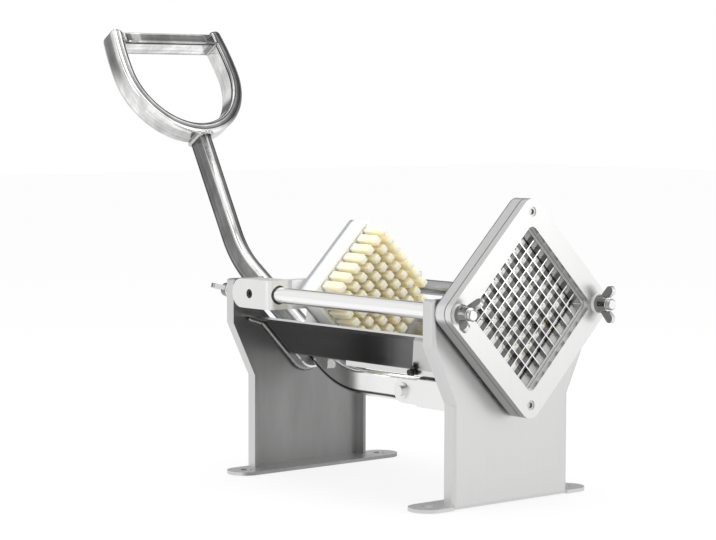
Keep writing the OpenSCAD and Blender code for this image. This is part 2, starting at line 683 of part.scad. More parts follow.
module link_bar(y0) difference() {
  union() {
    along_y(y0, y0 + link_t) strap(link_a, link_r, link_b, link_r + 1);
    translate([link_a[0] + 16.5, y0, link_a[1] - link_r + 0.5 - 2]) cube([49, link_t, 2*link_r + 2.5]);
  }
  rod_y(y0 - 1, y0 + link_t + 1, link_a[0], link_a[1], link_bolt_r + e);
  rod_y(y0 - 1, y0 + link_t + 1, link_b[0], link_b[1], link_bolt_r + run_gap);
}
module link_bar_near() color(steel) link_bar(-bar_out);
module link_bar_far() color(steel) link_bar(bar_in);
// Round bar welded between the two link bars, level with their upper edges
module link_spacer() color(dark)
  rod_y(-bar_in + e, bar_in - e, link_a[0] + spacer_dx, link_a[1] + spacer_dz, 4);
module link_bolts() color(bright) both_sides() {
  rod_y(bar_in, bar_out + e, link_a[0], link_a[1], link_bolt_r);
  rod_y(bar_out, bar_out + 1.3, link_a[0], link_a[1], 6.3);
  rod_y(bar_out + 1, bar_out + 4, link_a[0], link_a[1], 4.2);
}
// Two angles on the back of the front stand
module link_bracket() color(steel) difference() {
  both_sides() {
    along_x(x_in_f - cheek_t, cheek_t) translate([cheek_in, link_fix_z - 15]) square([16, 27]);
    along_y(cheek_in, cheek_out) strap(link_b, 9, [x_in_f - 2, link_fix_z], 11);
  }
  along_x(x_in_f, 20) square([200, 400], center = true);
  rod_y(-cheek_out - 1, cheek_out + 1, link_b[0], link_b[1], link_bolt_r + e);
}
module bracket_pin() color(bright) rod_y(-cheek_out - 3, cheek_out + 3, link_b[0], link_b[1], link_bolt_r);
module bracket_clips() color(dark) both_sides() clip(link_b[0], link_b[1], link_bolt_r, cheek_out + 0.2);
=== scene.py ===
# %% [markdown]
# # A lever-operated potato cutter
# The cutter is a small press. Two sheet-steel stands hold a trough and two ground rods, and a carriage with a
# block of plastic pins runs on the rods. Pulling the D-shaped handle drives the pins through a diamond grid
# of blades in the frame at the front.
#
# The CAD part is the frame of this scene: X runs from the rear stand to the blades, Y goes across, Z is up,
# and lengths are metres. Each piece rides on a CAD body, so it moves when the lever is pulled. The first cell
# loads that frame.

# %% Load the CAD frame
import json
import math
import bmesh
import bpy
from mathutils import Matrix, Vector, noise


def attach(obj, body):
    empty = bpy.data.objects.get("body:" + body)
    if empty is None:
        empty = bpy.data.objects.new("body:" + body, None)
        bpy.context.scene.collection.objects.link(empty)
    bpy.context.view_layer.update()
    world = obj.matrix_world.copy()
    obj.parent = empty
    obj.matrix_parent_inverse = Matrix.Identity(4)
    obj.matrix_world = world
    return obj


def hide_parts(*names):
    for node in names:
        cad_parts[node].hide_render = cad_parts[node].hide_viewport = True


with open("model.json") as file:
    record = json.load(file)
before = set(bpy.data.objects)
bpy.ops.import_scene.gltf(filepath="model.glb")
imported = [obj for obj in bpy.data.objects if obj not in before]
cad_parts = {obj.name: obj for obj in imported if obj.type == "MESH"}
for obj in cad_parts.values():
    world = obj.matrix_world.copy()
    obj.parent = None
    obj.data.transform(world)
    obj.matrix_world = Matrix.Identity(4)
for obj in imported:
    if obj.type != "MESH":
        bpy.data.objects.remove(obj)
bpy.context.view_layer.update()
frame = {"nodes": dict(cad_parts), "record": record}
MM = 0.001
# distance of the rods from the middle, and height of the rods and the lever's pivot, millimetres
ROD_Y, AXIS_Z = 68.5, 140.0

# %% [markdown]
# ## Shader maths
# Finishes are worked out as arithmetic on textures. `Sock` wraps a socket, so that `a * 0.5 + b` makes Math
# nodes. `Shader.node` makes any other node from its type, its settings and its socket values. Colours are
# joined by Mix and coordinates are stretched by Vector Math, as those two aren't single numbers.

# %% Shader helpers
class Sock:
    def __init__(self, shader, socket):
        self.shader, self.socket = shader, socket

    def math(self, op, *others, flip=False):
        args = [*others[::-1], self] if flip else [self, *others]
        return self.shader.node("ShaderNodeMath", {"operation": op}, dict(enumerate(args)))

    def __add__(self, o): return self.math("ADD", o)
    def __radd__(self, o): return self.math("ADD", o, flip=True)
    def __sub__(self, o): return self.math("SUBTRACT", o)
    def __rsub__(self, o): return self.math("SUBTRACT", o, flip=True)
    def __mul__(self, o): return self.math("MULTIPLY", o)
    def __rmul__(self, o): return self.math("MULTIPLY", o, flip=True)
    def clamp(self): return self.shader.node("ShaderNodeClamp", {}, {"Value": self})


class Shader:
    def __init__(self, name, tree=None):
        if tree is None:
            self.material = bpy.data.materials.new(name)
            self.material.use_nodes = True
            tree = self.material.node_tree
        self.tree = tree
        tree.nodes.clear()

    def node(self, kind, settings, values, out=0):
        n = self.tree.nodes.new(kind)
        for key, value in settings.items():
            setattr(n, key, value)
        for key, value in values.items():
            if isinstance(value, Sock):
                self.tree.links.new(value.socket, n.inputs[key])
            else:
                n.inputs[key].default_value = value
        return Sock(self, n.outputs[out]) if n.outputs else n

    def coords(self, stretch=(1, 1, 1), out="Object"):
        where = self.node("ShaderNodeTexCoord", {}, {}, out=out)
        return self.node("ShaderNodeVectorMath", {"operation": "MULTIPLY"}, {0: where, 1: stretch})

    def noise(self, scale, stretch=(1, 1, 1), detail=3.0, rough=0.5, out="Object"):
        return self.node("ShaderNodeTexNoise", {}, {"Vector": self.coords(stretch, out), "Scale": scale,
                         "Detail": detail, "Roughness": rough}, out="Fac")

    def remap(self, value, lo, hi, to_lo=0.0, to_hi=1.0):
        return self.node("ShaderNodeMapRange", {"interpolation_type": "SMOOTHSTEP"},
                         {"Value": value, "From Min": lo, "From Max": hi, "To Min": to_lo, "To Max": to_hi})

    def axis(self, i, out="Object"):
        return self.node("ShaderNodeSeparateXYZ", {}, {0: self.coords(out=out)}, out=i)

    def facing(self, i):
        face = self.node("ShaderNodeNewGeometry", {}, {}, out="Normal")
        return self.node("ShaderNodeSeparateXYZ", {}, {0: face}, out=i)

    def band(self, value, lo, hi, soft):
        return self.remap(value, lo - soft, lo + soft) * self.remap(value, hi + soft, hi - soft)

    def mix(self, fac, a, b):
        a, b = [(*v, 1) if isinstance(v, tuple) and len(v) == 3 else v for v in (a, b)]
        return self.node("ShaderNodeMix", {"data_type": "RGBA"}, {0: fac, 6: a, 7: b}, out=2)

    def grey(self, tone):
        return self.mix(tone.clamp(), (0, 0, 0), (1, .998, .993))

    def bump(self, height, distance, strength=1.0):
        return self.node("ShaderNodeBump", {}, {"Height": height, "Distance": distance, "Strength": strength})

    def finish(self, color, rough, metallic=1.0, normal=None, **extra):
        values = {"Base Color": color, "Roughness": rough, "Metallic": metallic, **extra}
        if normal is not None:
            values["Normal"] = normal
        self.node("ShaderNodeOutputMaterial", {}, {0: self.node("ShaderNodeBsdfPrincipled", {}, values)})
        return self.material


print("shader methods", [name for name in vars(Shader) if not name.startswith("_")])

# %% [markdown]
# ## Ground and brushed steel
# Sheet and bar carry fine lines left by a belt. A noise squeezed along one axis drives both the roughness
# and a bump of a few micrometres, and slow clouds dull the metal where hands and cloths pass. `shade` takes one
# of the functions in the next cell, which darken a piece on some faces.

# %% Steel
def steel(name, tone, rough, grain=(1, 1, 1), grain_scale=900, depth=2e-6,
          mottle=0.05, wear=0.06, shade=None):
    """Ground steel: `grain` squeezes the lines, `mottle` clouds the tone and `wear` roughens the marks."""
    s = Shader(name)
    lines = s.noise(grain_scale, grain, detail=2)
    cloud = s.noise(16, detail=4)
    marks = s.remap(s.noise(260, (1, 1, 0.12), detail=5, rough=0.7), 0.62, 0.8)
    light = tone * (1 + (cloud - 0.5) * (2 * mottle) + (lines - 0.5) * 0.06)
    if shade:
        light = light * shade(s)
    r = rough * (0.8 + 0.4 * lines) + (cloud - 0.5) * 0.08 + marks * wear
    return s.finish(s.grey(light), r.clamp(), 1.0, s.bump(lines, depth))


print("steel: one grain noise for roughness and bump, one cloud for tone")

# %% [markdown]
# ## Painted shade and reflections
# These functions paint light and shade into the tone. The inner side of the rear stand gets painted shade, the
# outside of the trough a painted dark reflection of the space under it, the blades' front halves a painted dark
# reflection and the walls of turned pieces painted shade. The cut edges of the frame keep a dark line at the
# plates' joint, and get painted shade behind the spacer edge and underneath and a painted dark line on their
# rounded corners. Each function returns a factor for the tone, worked out from the place and the direction of a
# face, so that one CAD node can carry all of it in one material.

# %% Dark faces
# ends of the band of painted dark reflection on the trough's flank, metres along a slanted line
DARK_REFLECTION_REAR, DARK_REFLECTION_FRONT = -0.0135, 0.0093
# along X, metres: end of painted shade over the spacer, start of the blades' painted dark half, the plates' joint
SPACER_EDGE, PAINTED_DARK_FROM, JOINT_LINE = 0.1219, 0.125, 0.1309


def inner_rear(s):
    """Painted shade on the rear stand's inner side, which the front stand keeps from the lamps: darker and
    streaky.
    """
    inner = s.remap(s.facing(0), 0.6, 0.9) * s.remap(s.axis(0), -0.05, -0.1)
    streaks = s.noise(38, (1, 1, .25), detail=4, rough=0.6)
    return 1 - inner * (0.72 - 0.22 * streaks)


def under_trough(s):
    """Painted reflection on the outside of the flanks: dark from the shaded rear stand and space under the
    trough, lighter near the front stand.
    """
    side = s.remap(s.axis(1).math("ABSOLUTE"), 0.016, 0.02) * s.remap(s.facing(2), -0.35, -0.6)
    across = s.axis(0) * 0.91 - s.axis(1).math("ABSOLUTE") * 1.07
    # lighter painted reflection of the floor near the front stand
    front = s.remap(across, DARK_REFLECTION_FRONT - 0.0008, DARK_REFLECTION_FRONT)
    # a band of darker painted reflection across the flank
    belt = s.band(across, DARK_REFLECTION_REAR, DARK_REFLECTION_FRONT, 0.0008)
    streaks = s.noise(30, (.2, 1, 1), detail=4)
    return 1 - side * (0.90 - 0.16 * streaks + 0.06 * belt) * (1 - 0.75 * front)


def blade_side(s):
    """Painted dark reflection on the front half of a blade's sides; the half behind keeps its mirror-bright tone.
    """
    half = s.remap(s.axis(0), PAINTED_DARK_FROM - 0.0003, PAINTED_DARK_FROM + 0.0003)
    painted_dark = half * s.remap(s.facing(0).math("ABSOLUTE"), 0.7, 0.4)
    # the front half's tone carries the painted dark reflection
    return 1 - painted_dark * (0.92 - 0.30 * s.noise(150, detail=3))


def side_walls(axis):
    """Turned pieces: painted shade on the walls round their ends, so the ends read bright."""
    return lambda s: 1 - 0.72 * s.remap(s.facing(axis).math("ABSOLUTE"), 0.85, 0.35)


def frame_sides(s):
    """Cut edges of the two frame plates: a dark line at their joint, painted shade behind the spacer edge and
    underneath, and a painted dark line on the rounded corners.
    """
    edge = s.remap(s.facing(0).math("ABSOLUTE"), 0.6, 0.3)
    x = s.axis(0)
    joint = s.band(x, JOINT_LINE - 0.0005, JOINT_LINE + 0.0005, 0.0002)
    # painted shade of the narrow gap over the spacer
    joint = joint + s.remap(x, SPACER_EDGE + 0.0005, SPACER_EDGE - 0.0005)
    # painted dark reflection line on the rounded corners between the edges and the front face
    corner = s.band(s.facing(0), 0.25, 0.8, 0.1)
    # painted shade on the edges' underside
    walls = (1 - edge * joint.clamp() * 0.7) * (1 - 0.42 * edge * s.remap(s.facing(2), -0.3, -0.6))
    return walls * (1 - 0.45 * corner)


print("belt", DARK_REFLECTION_REAR, DARK_REFLECTION_FRONT, "line at the plates' joint", JOINT_LINE)

# %% [markdown]
# ## Threads and plastic
# The rods are ground bright and their thinner ends carry a thread. The thread is a sine along X, switched on
# where the distance to the rod's axis is small; grooves, undersides and the far rod carry painted shade. The
# pusher is one moulding in a milky plastic that lets light through: the slab is white, and the pins are warmer,
# with a painted highlight on their front-facing tips.

# %% Threads and plastic
THREAD_PITCH = 0.00125


def threaded_steel(name, tone, rough, stud_r):
    s = Shader(name)
    dy, dz = s.axis(1).math("ABSOLUTE") - ROD_Y * MM, s.axis(2) - AXIS_Z * MM
    thin = s.remap((dy * dy + dz * dz).math("SQRT"), stud_r + 0.0008, stud_r + 0.0003)
    ring = (s.axis(0) * (2 * math.pi / THREAD_PITCH)).math("SINE") * 0.5 + 0.5
    lines = s.noise(1400, (1, .05, .05), detail=2)
    # painted shade in the thread's grooves and on the rods' undersides
    light = tone * (1 - 0.75 * thin * (1 - ring)) * (1 - 0.45 * s.remap(s.facing(2), -0.35, -0.8))
    # painted dark reflection on the far rod
    light = light * (1 - 0.5 * s.remap(s.axis(1), 0.02, 0.05) * (1 - thin))
    r = rough * (0.7 + 0.5 * lines) + thin * 0.12
    return s.finish(s.grey(light), r.clamp(), 1.0, s.bump(lines * 0.02 + ring * thin * 0.6, 4e-4, 0.6))


def milky_plastic(name):
    s = Shader(name)
    x = s.axis(0)
    deep = s.remap(x, -0.050, -0.032)
    # painted highlight on the pins' front-facing tips
    tip_highlight = s.remap(s.facing(0), 0.55, 0.95) * s.remap(x, -0.030, -0.024)
    cloud = s.noise(40, detail=4)
    cream = s.mix(cloud, (0.99, 0.86, 0.58), (0.99, 0.89, 0.66))
    color = s.mix(deep, (0.95, 0.94, 0.89), cream)
    color = s.mix(tip_highlight * 0.85, color, (0.99, 0.87, 0.72))
    return s.finish(color, 0.34 + 0.12 * cloud, 0.0, s.bump(s.noise(700), 4e-6),
                    **{"Subsurface Weight": 0.8, "Subsurface Radius": (1, .8, .5), "Subsurface Scale": 0.014})


print("thread pitch", THREAD_PITCH, "rod axis", ROD_Y, AXIS_Z)

# %% [markdown]
# ## Polished tube with painted reflections
# The lever and handle are flat-sided, polished tube with long polishing streaks along it. Light and dark bands
# round the section are painted reflections of the lamps and dark cards, brightest as painted highlights along the
# rounded corners. The swept meshes below store the way round the section in U and the way along the tube in V,
# so each band and streak follows its tube.
# A band is (start, end, tone), with the start and end in millimetres round the section.

# %% Polished tube
ROUND = 53.85  # millimetres once round the section
BAND_SOFT = 0.45
# painted dark line kept on one corner, millimetres round the section
CORNER_LINE = (39.0, 41.4)


def tube_painted_reflections(name, tone, bands, streak=0.3, reflection_bright_after=None, rough=0.12, dark_reflections=None):
    s = Shader(name)
    u = s.axis(0, "UV") * ROUND + (s.noise(1, (0, 22, 0), detail=2, out="UV") - 0.5) * 0.8
    light = tone
    for start, end, value in bands:
        # each band paints a reflection or highlight into the tone round the section
        light = light + s.band(u, start, end, BAND_SOFT) * (value - light)
    streaks = s.noise(1, (26, 9, 1), detail=5, rough=0.65, out="UV")
    light = light * (1 - streak + 1.7 * streak * s.remap(streaks, 0.3, 0.7))
    light = light * (0.72 + 0.5 * s.remap(s.noise(42, (1, 1, .6), detail=5, rough=0.7), 0.3, 0.7))
    # extra painted dark reflections, given per tube
    if dark_reflections:
        light = dark_reflections(s, u, light)
    if reflection_bright_after:
        # past the bend the lever gets a painted bright reflection of the floor, except on the corner line
        edge = s.band(u, *CORNER_LINE, 0.5)
        light = light + s.remap(s.axis(0), *reflection_bright_after) * (1 - edge) * 0.9 * (0.92 - light)
    smear = s.noise(24, detail=4)
    r = rough + 0.14 * s.remap(smear, 0.45, 0.75) + 0.05 * streaks
    return s.finish(s.grey(light), r, 1.0, s.bump(streaks, 5e-6))


# tones of the painted reflections and highlights round the lever, loop and grip
LEVER_BANDS = [(0.3, 4.0, .96), (4.0, 4.6, .4), (4.6, 6.3, .8), (6.3, 9.0, .17), (9.0, 13.6, .05),
               (39.6, 41.2, .05), (41.2, 53.2, .21)]
LOOP_BANDS = [(0, 1.6, .06), (1.6, 3.2, .6), (3.2, 4.9, .07), (4.9, 6.2, .75), (6.2, 7.9, .28),
              (7.9, 9.0, .06), (9.0, 12.8, .96), (12.8, 26, .78), (40.4, 53.9, .78)]
GRIP_BANDS = [(0, 1.2, .05), (3.2, 9.5, .22), (9.5, 10.6, .7), (11, 12.6, .1), (41, 53.5, .85)]


def loop_dark_reflections(s, u, light):
    """Painted dark reflections on the far limb's face, at the top of the near limb's outer side and on a band
    lower down.
    """
    y, z = s.axis(1), s.axis(2)
    far = s.remap(y, 0.012, 0.04) * s.band(u, 4.9, 13.6, 0.4)
    top = s.remap(y, -0.015, -0.035) * s.remap(z, 0.292, 0.318) * s.band(u, 15.5, 27.0, 1.8)
    low = s.band(z, 0.246, 0.268, 0.008) * s.band(u, 15.0, 27.0, 1.5)
    return light * (1 - 0.68 * far) * (1 - 0.72 * top) * (1 - 0.3 * low)


print("bands on lever, loop and grip", len(LEVER_BANDS), len(LOOP_BANDS), len(GRIP_BANDS))

# %% [markdown]
# ## One finish for each slot
# The CAD record gives every node a material slot. One dictionary turns a slot into a finish, and `dress`
# puts it on a piece.

# %% Choose the finishes
MATERIALS = {
    "satin_sheet": steel("satin_sheet", .64, .38, (1, 1, .02), mottle=.02, shade=inner_rear),
    "trough_sheet": steel("trough_sheet", .72, .2, (.02, 1, 1), shade=under_trough),
    "weld_metal": steel("weld_metal", .52, .16, (1, 1, 1), 420, 2e-4, .35),
    "rod_steel": threaded_steel("rod_steel", .93, .2, 0.004),
    # the spacer's near-black tone is painted shade of the narrow gap between the frame and the front stand
    "spacer_metal": steel("spacer_metal", .10, .4),
    "frame_metal": steel("frame_metal", .73, .33, (1, 1, .05), mottle=.02, shade=frame_sides),
    "blade_steel": steel("blade_steel", .93, .07, (1, .03, .03), mottle=.03, shade=blade_side),
    "rivet_steel": steel("rivet_steel", .55, .24, shade=side_walls(0)),
    "fastener_steel": steel("fastener_steel", .80, .18),
    "wing_nut_steel": steel("wing_nut_steel", .78, .12, (1, 1, 1), 260, 1.5e-4, .12, shade=side_walls(0)),
    "bracket_metal": steel("bracket_metal", .62, .26),
    "link_metal": steel("link_metal", .84, .3, (.03, 1, 1)),
    "spring_steel": steel("spring_steel", .06, .3),
    "cast_metal": steel("cast_metal", .80, .34, (1, 1, 1), 500, 8e-6, .03),
    "bush_metal": steel("bush_metal", .08, .35),
    "plate_metal": steel("plate_metal", .60, .3, (1, 1, .05)),
    "tube_steel": tube_painted_reflections("tube_steel", .5, LEVER_BANDS, reflection_bright_after=(-.125, -.095)),
    "pusher_plastic": milky_plastic("pusher_plastic"),
}
loop_reflections = tube_painted_reflections("loop_reflections", .7, LOOP_BANDS, streak=.16, dark_reflections=loop_dark_reflections)
grip_reflections = tube_painted_reflections("grip_reflections", .5, GRIP_BANDS)
slot_of = {p["node"]: p["material_slot"] for p in frame["record"]["subparts"]}


def dress(ob, slot, material=None):
    ob.data.materials.clear()
    ob.data.materials.append(material or MATERIALS[slot])


for name, ob in frame["nodes"].items():
    dress(ob, slot_of[name])
print("dressed", len(slot_of), "nodes in", len(MATERIALS), "finishes")

# %% [markdown]
# ## Broken edges
# No real edge is sharp: folded sheet, turned pins and moulded pins all catch a line of light on a small
# radius. A Bevel modifier on the CAD nodes gives that radius, and the mesh itself stays as it is.

# %% Bevels, in millimetres
SHARP = 32  # degrees: an edge that turns less than this stays as it is
BEVELS = {"front_stand": .7, "rear_stand": .7, "frame_cover": 1.0, "frame_body": .8, "carriage": 1.2,
          "pusher_plate": .5, "link_bar_near": .7, "link_bar_far": .7,
          "lever_ears": .5, "link_bracket": .5, "frame_rivets": .5, "link_bolts": .6,
          "wing_nut_front_near": .9, "wing_nut_front_far": .9, "wing_nut_rear_near": .9,
          "wing_nut_rear_far": .9, "front_washers": .3, "rear_washers": .3, "link_spacer": .4,
          "lever_pivot_pin": .5, "bracket_pin": .5, "slot_screws": .4,
          "lever_bush": .4, "food_trough": .3, "slide_bushes": .25, "pusher_screws": .4}
for name, width in BEVELS.items():
    mod = frame["nodes"][name].modifiers.new("edge", "BEVEL")
    mod.width, mod.segments, mod.limit_method = width * MM, 3, "ANGLE"
    mod.angle_limit = math.radians(SHARP)
    mod.use_clamp_overlap = mod.harden_normals = True
print("bevelled", len(BEVELS), "nodes")

# %% [markdown]
# ## Sweeping a section
# Tube and weld bead are both a closed outline carried along a line. A station is a place on that line, with
# the two directions of the outline and how far the outline is pulled in there, which rounds a tube's end.
# Stations are in millimetres, and U and V are written as the skin is made.

# %% Sweep helpers
def rounded_section(half_a, half_b, r, steps=5):
    """Rectangle with rounded corners, from the low-b end of the high-a side, anticlockwise."""
    points = []
    for sa, sb, start in ((1, -1, -90), (1, 1, 0), (-1, 1, 90), (-1, -1, 180)):
        for i in range(steps + 1):
            t = math.radians(start + 90 * i / steps)
            points.append((sa * (half_a - r) + r * math.cos(t), sb * (half_b - r) + r * math.sin(t)))
    return points


class Skin:
    def __init__(self):
        self.bm = bmesh.new()
        self.uv = self.bm.loops.layers.uv.new("round_and_along")

    def sweep(self, stations, section_at, loop=False):
        rings, along, travelled, last = [], [], 0.0, None
        for centre, a, b, inset in stations:
            travelled += (centre - last).length if last else 0.0
            last = centre
            rings.append([self.bm.verts.new((centre + a * p + b * q) * MM) for p, q in section_at(inset)])
            along.append(travelled * MM)
        n = len(rings[0])
        plain = [Vector(p) for p in section_at(0)]
        steps = [0.0]
        for i in range(n):
            steps.append(steps[-1] + (plain[(i + 1) % n] - plain[i]).length)
        for i in range(len(rings) if loop else len(rings) - 1):
            k = (i + 1) % len(rings)
            far = along[k] if k else travelled * MM
            for j in range(n):
                m = (j + 1) % n
                face = self.bm.faces.new((rings[i][j], rings[i][m], rings[k][m], rings[k][j]))
                face.smooth = True
                places = ((j, along[i]), (j + 1, along[i]), (j + 1, far), (j, far))
                for corner, (s, v) in zip(face.loops, places):
                    corner[self.uv].uv = (steps[s] / steps[-1], v)
        if not loop:
            for ring in (rings[0], rings[-1]):
                self.bm.faces.new(ring)

    def done(self, name, slot, body, nodes, material=None):
        bmesh.ops.recalc_face_normals(self.bm, faces=self.bm.faces)
        mesh = bpy.data.meshes.new(name)
        self.bm.to_mesh(mesh)
        self.bm.free()
        ob = bpy.data.objects.new(name, mesh)
        bpy.context.scene.collection.objects.link(ob)
        ob.modifiers.new("flat_sides", "WEIGHTED_NORMAL")
        dress(ob, slot, material)
        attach(ob, body)
        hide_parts(*nodes)
        print(name, len(mesh.vertices), "points")


def tube_section(half_a, half_b, r):
    """Section of a tube, as a function of how far the outline is pulled in."""
    return lambda inset: rounded_section(half_a - inset, half_b - inset, max(r - inset, 0.3))


TUBE, GRIP_TUBE = tube_section(9.75, 5.0, 3.0), tube_section(9.75, 5.25, 2.6)
print("points round the tube", len(TUBE(0)))

# %% [markdown]
# ## The lever
# The lever is one length of flat-sided tube, bent twice in a former. It drops from the handle, leans over the
# carriage's pivot and runs level to the link. The corner points and radii are the CAD lever's, in the XZ plane.

# %% Lever
LEVER_CORNERS = [(-257, 259), (-201.3, 158), (-68.9, 71), (26, 71)]
BEND_RADII = [80, 78]


def bent_line(points, radii, step=5.0):
    """Points of a line through the corners, with each inner corner rounded to its radius."""
    line = [Vector(points[0])]
    for p0, p1, p2, r in zip(points, points[1:], points[2:], radii):
        p0, p1, p2 = Vector(p0), Vector(p1), Vector(p2)
        d0, d1 = (p0 - p1).normalized(), (p2 - p1).normalized()
        half = math.acos(max(-1, min(1, d0.dot(d1)))) / 2
        centre = p1 + (d0 + d1).normalized() * (r / math.sin(half))
        a, b = p1 + d0 * (r / math.tan(half)) - centre, p1 + d1 * (r / math.tan(half)) - centre
        turn = math.atan2(a.x * b.y - a.y * b.x, a.dot(b))
        n = max(4, round(abs(turn) * r / step))
        for i in range(n + 1):
            c, s = math.cos(turn * i / n), math.sin(turn * i / n)
            line.append(centre + Vector((a.x * c - a.y * s, a.x * s + a.y * c)))
    return line + [Vector(points[-1])]


lever_line = bent_line(LEVER_CORNERS, BEND_RADII)
stations = []
for i, p in enumerate(lever_line):
    before, after = lever_line[max(i - 1, 0)], lever_line[min(i + 1, len(lever_line) - 1)]
    d = (after - before).normalized()
    front = Vector((-d.y, 0, d.x)) if d.x > 0 else Vector((d.y, 0, -d.x))
    stations.append((Vector((p.x, 0, p.y)), front, Vector((0, 1, 0)), 0.0))
lever = Skin()
lever.sweep(stations, TUBE)
lever.done("lever_polished_tube", "tube_steel", "lever", ["lever_tube"])

# %% [markdown]
# ## The handle
# The handle is the same tube bent into a D, with a straight grip welded across the open end. Its plane leans
# back with the lever. `in_handle` turns a place in that plane into the frame: across, up the handle and out
# of its face. The two upper ends of the loop are closed and dressed round, so the hand meets no corner.

# %% Handle loop and grip
UP, OUT = Vector((-0.5417, 0, 0.8406)), Vector((0.8406, 0, 0.5417))
HANDLE_FOOT, ACROSS = Vector((-257, 0, 259)), Vector((0, 1, 0))
# half width of the loop, height of its widest place, and its half height below and above that place
LOOP_HALF, LOOP_MID, LOOP_BELOW, LOOP_ABOVE = 53.6, 56, 56.8, 110
LOOP_END, LOOP_STEPS = 109.2, 36  # degrees from the foot to an upper end, and stations on the way
CAP = 4.6  # radius of the rounded upper ends
GRIP_RISE = 87.4  # height of the grip above the foot


def in_handle(y, up, out=0.0):
    return HANDLE_FOOT + ACROSS * y + UP * up + OUT * out


def loop_point(deg):
    """Across and up, for a place this many degrees round the loop from its foot."""
    drop = LOOP_BELOW if abs(deg) <= 90 else LOOP_ABOVE
    t = math.radians(deg)
    return LOOP_HALF * math.sin(t), LOOP_MID - drop * math.cos(t)


def loop_station(deg, past=0.0, inset=0.0):
    (y0, z0), (y1, z1), (y, z) = loop_point(deg - .5), loop_point(deg + .5), loop_point(deg)
    d = (ACROSS * (y1 - y0) + UP * (z1 - z0)).normalized()
    return in_handle(y, z) + d * past, OUT, d.cross(OUT), inset


turns = [LOOP_END * i / LOOP_STEPS for i in range(-LOOP_STEPS, LOOP_STEPS + 1)]
dome = [(CAP * math.sin(math.radians(a)), CAP * (1 - math.cos(math.radians(a)))) for a in (20, 40, 58, 74, 86)]
stations = [loop_station(-LOOP_END, -h, q) for h, q in reversed(dome)]
stations += [loop_station(a) for a in turns] + [loop_station(LOOP_END, h, q) for h, q in dome]
loop = Skin()
loop.sweep(stations, TUBE)
loop.done("handle_loop_tube", "tube_steel", "lever", ["handle_loop", "handle_caps"], loop_reflections)

grip = Skin()
grip.sweep([(in_handle(y, GRIP_RISE), OUT, UP, 0.0) for y in (-49, -30, -10, 10, 30, 49)], GRIP_TUBE)
grip.done("handle_grip_tube", "tube_steel", "lever", ["handle_grip"], grip_reflections)

# %% [markdown]
# ## The pin block
# The pusher is one moulding: a thick square slab with a pin for each cell of the blade grid, 62 of them, as
# the two cells beside the rods have none. Each pin is a rounded square that narrows a little toward its tip,
# so that it left the mould, and its tip is rounded by wear. The slab and pins are swept along X. A place in
# `slab_shape` or `pin_shape` is (X, how far the outline is pulled in), in millimetres.

# %% Pin block
PITCH, CELLS = 9.525, 8
SLAB_HALF, PIN_HALF = 39.8, 3.4
RISING, FALLING = Vector((0, 1, 1)).normalized(), Vector((0, -1, 1)).normalized()


def along_x(skin, i, j, places, half, r, steps):
    """Sweep a rounded square along X, i and j from the middle in the grid's two directions."""
    centre = RISING * i + FALLING * j + Vector((0, 0, AXIS_Z))
    skin.sweep([(centre + Vector((x, 0, 0)), RISING, FALLING, q) for x, q in places],
               lambda inset: rounded_section(half - inset, half - inset, max(r - inset * .3, .3), steps))


pusher = Skin()
slab_shape = [(-57, .6), (-56.4, 0), (-43.2, 0), (-42.3, .35), (-41.7, .9), (-41.5, 1.6)]
along_x(pusher, 0, 0, slab_shape, SLAB_HALF, 5.0, 6)
pin_shape = [(-42, 0), (-41, 0), (-23, .2), (-21.8, .35), (-21, .75), (-20.6, 1.3), (-20.5, 1.9)]
last = CELLS - 1
for i in range(CELLS):
    for j in range(CELLS):
        if (i, j) not in ((0, last), (last, 0)):
            along_x(pusher, (i - last / 2) * PITCH, (j - last / 2) * PITCH, pin_shape, PIN_HALF, 1.2, 3)
pusher.done("pusher_moulding", "pusher_plastic", "carriage", ["pusher_block"])

# %% [markdown]
# ## Weld beads
# A weld bead is a row of puddles that froze one over another. Each bead here is a round section carried
# along the joint, whose radius swells once per puddle and wanders a little from puddle to puddle. One bead
# goes round the lever's end, short ones close the grip, and long ones hold the trough to the stands.

# %% Weld beads
COLLAR_UP = -6.4  # height of the lever's bead in the handle's plane
TROUGH_ARC, ARC_Z = 16.6, 92.0  # radius and centre height of the bead's line round the trough's bend
REAR_X, FRONT_X = -114.2, 114.5  # the beads' lines, just inside the stands


def bead(skin, line, radius, loop=False, puddle=2.6, step=0.7):
    """Carry a lumpy round section along a line of corner points, millimetres."""
    points = []
    ends = list(zip(line, line[1:] + line[:1])) if loop else list(zip(line, line[1:]))
    for p, q in ends:
        n = max(1, round((q - p).length / step))
        points += [p.lerp(q, i / n) for i in range(n)]
    if not loop:
        points.append(line[-1])
    stations, s = [], 0.0
    for i, p in enumerate(points):
        before = points[i - 1] if i or loop else p
        after = points[(i + 1) % len(points)] if i + 1 < len(points) or loop else p
        d = (after - before).normalized()
        s += step
        a = d.orthogonal().normalized() if abs(d.x) > 0.9 else d.cross(Vector((1, 0, 0))).normalized()
        swell = 0.10 * math.cos(2 * math.pi * s / puddle) + 0.22 * noise.noise(p * 0.35)
        end = 0 if loop else max(0, 1 - min(i, len(points) - 1 - i) * step / radius)
        inset = radius * (0.9 * (1 - math.sqrt(max(0, 1 - end * end))) - swell)
        stations.append((p, a, d.cross(a), inset))
    ring = [(math.cos(2 * math.pi * k / 12), math.sin(2 * math.pi * k / 12)) for k in range(12)]
    skin.sweep(stations, lambda q: [(c * (radius - q), t * (radius - q)) for c, t in ring], loop)


